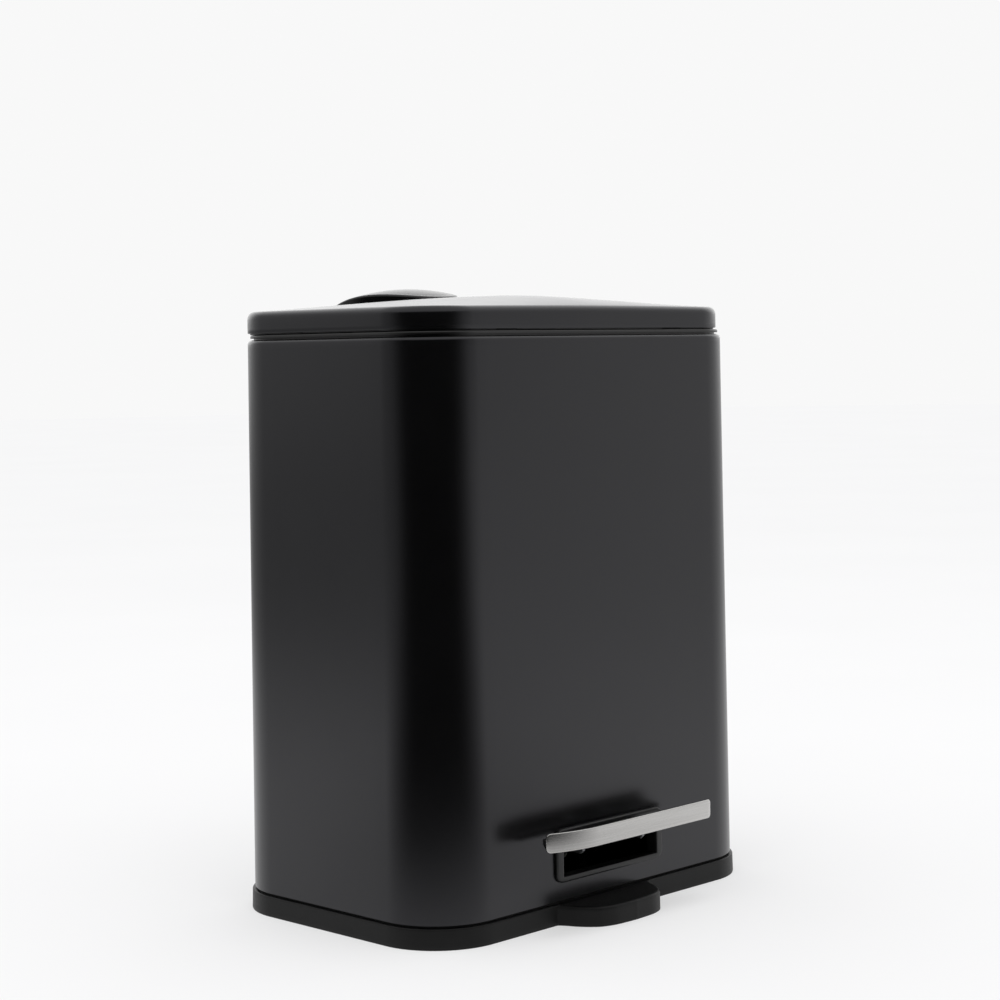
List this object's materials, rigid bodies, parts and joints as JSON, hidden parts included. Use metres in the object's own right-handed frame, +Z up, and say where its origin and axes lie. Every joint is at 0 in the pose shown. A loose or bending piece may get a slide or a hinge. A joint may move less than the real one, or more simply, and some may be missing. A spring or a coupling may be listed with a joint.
{
  "type": "pedal trash can",
  "caption": "Rectangular pedal bin with rounded corners, satin black steel body and low domed lid on a rear hinge, opened by a front foot pedal, with a lift-out inner bucket",
  "frame": {"origin": "centre of the base's underside, on the floor the bin stands on", "axes": "+Z up, -Y to the front where the pedal is, +X to the right seen from the front"},
  "size_m": [0.2186, 0.1725, 0.284],
  "materials": {
    "satin_black_paint": "satin black baked paint on steel sheet",
    "black_plastic": "fine moulded grain",
    "bucket_plastic": "smooth moulded polypropylene",
    "brushed_stainless": "brushed along its length",
    "zinc_steel": "bright zinc plate",
    "wire_steel": "drawn wire, nickel plated",
    "natural_plastic": "uncoloured acetal",
    "black_rubber": "matt moulded rubber"
  },
  "bodies": {
    "body": {"body_shell": "satin_black_paint", "base": "black_plastic", "antislip_pads": "black_rubber", "lever_stop": "black_rubber", "pedal_bezel": "black_plastic", "lever_axle": "zinc_steel", "axle_clips": "zinc_steel", "rod_guide": "natural_plastic", "rod_guide_rivets": "zinc_steel", "rim_collar": "black_plastic", "inner_bucket": "bucket_plastic", "bucket_handle": "wire_steel", "hinge_bracket": "black_plastic", "hinge_pin": "zinc_steel", "hinge_screws": "zinc_steel", "hinge_nuts": "zinc_steel"},
    "lid": {"lid_shell": "satin_black_paint", "lid_liner": "black_plastic", "lid_buffers": "black_rubber", "hinge_cover": "black_plastic", "lid_screws": "zinc_steel"},
    "pedal": {"pedal_lever": "zinc_steel", "lever_bushes": "natural_plastic", "pedal_band": "brushed_stainless", "pedal_plate": "black_plastic", "pedal_rivets": "zinc_steel"},
    "rod": {"push_rod": "zinc_steel", "rod_foot": "natural_plastic", "rod_tip": "natural_plastic"}
  },
  "joints": [
    {"name": "lid_hinge", "type": "hinge", "parent": "body", "child": "lid", "pos_m": [0, 0.073, 0.2615], "axis": [-1, 0, 0], "range_deg": [0, 75]},
    {"name": "rod_slide", "type": "slide", "parent": "body", "child": "rod", "axis": [0, 0, 1], "range_m": [0, 0.0131]},
    {"name": "pedal_pivot", "type": "hinge", "parent": "body", "child": "pedal", "pos_m": [0, -0.022, 0.018], "axis": [1, 0, 0], "range_deg": [0, 8.83]}
  ],
  "couplings": [
    {"joint": "rod_slide", "follows": "lid_hinge", "m_per_rad": 0.01},
    {"joint": "pedal_pivot", "follows": "lid_hinge", "ratio": 0.11765}
  ]
}
